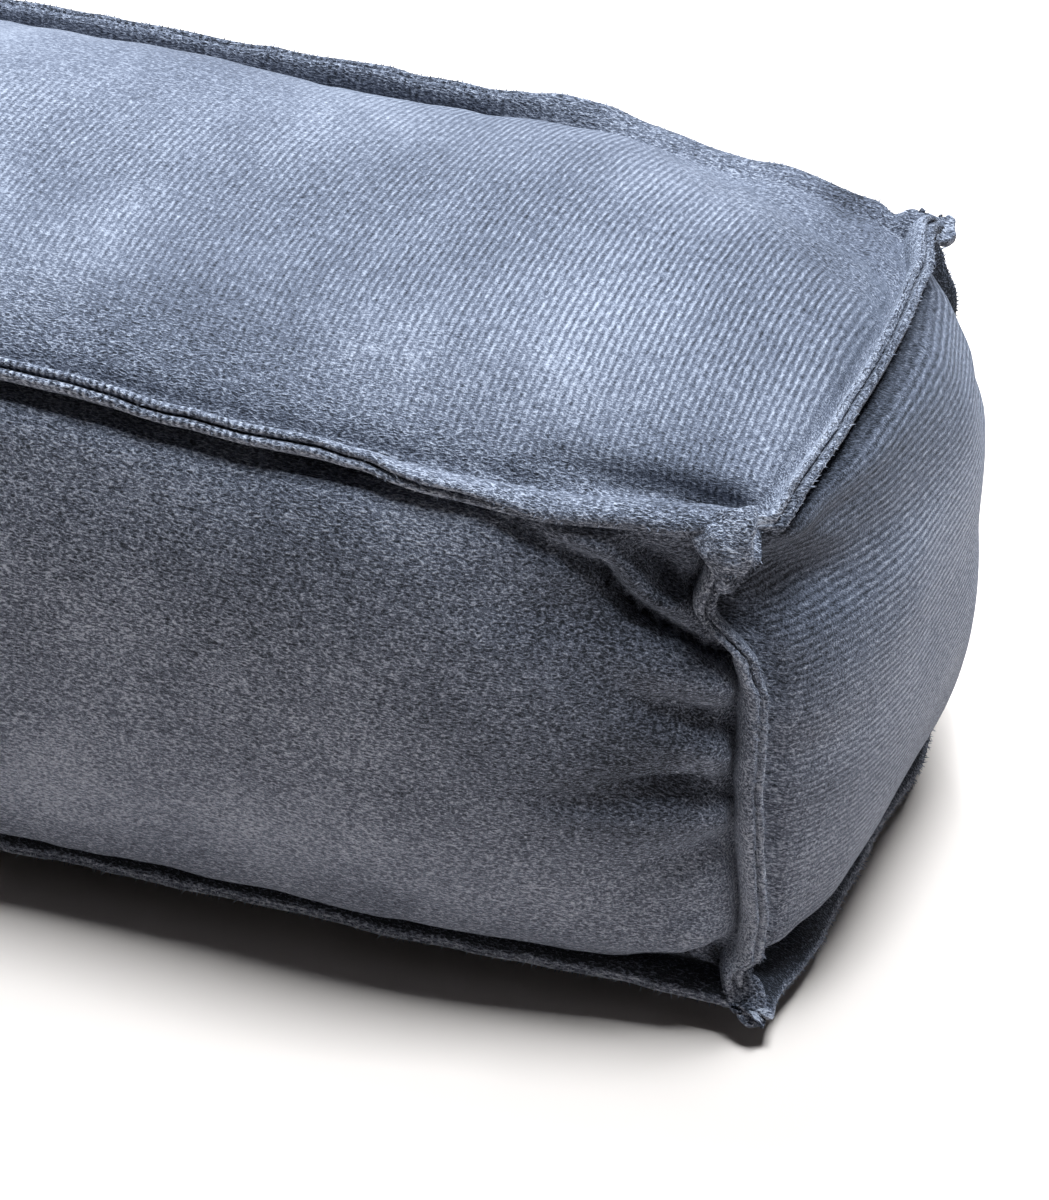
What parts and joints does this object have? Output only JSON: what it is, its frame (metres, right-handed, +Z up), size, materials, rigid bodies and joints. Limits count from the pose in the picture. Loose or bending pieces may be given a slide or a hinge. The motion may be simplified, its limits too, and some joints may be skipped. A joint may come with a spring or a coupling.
{
  "type": "draught excluder",
  "caption": "Long firm box-section bolster in ribbed velvet with pinched, topstitched edges, laid along the foot of a door to keep draughts out.",
  "frame": {"origin": "centre of the bounding box in plan, at the floor under the flat underside", "axes": "+X along the bolster towards the end shown in the picture, -Y the front face, +Z up"},
  "size_m": [0.9204, 0.1302, 0.12],
  "materials": {
    "ribbed_velvet": "blue-grey cotton velvet with fine ribs and a short, brushed nap"
  },
  "bodies": {
    "root": {"filled_cover": "ribbed_velvet"}
  },
  "joints": []
}
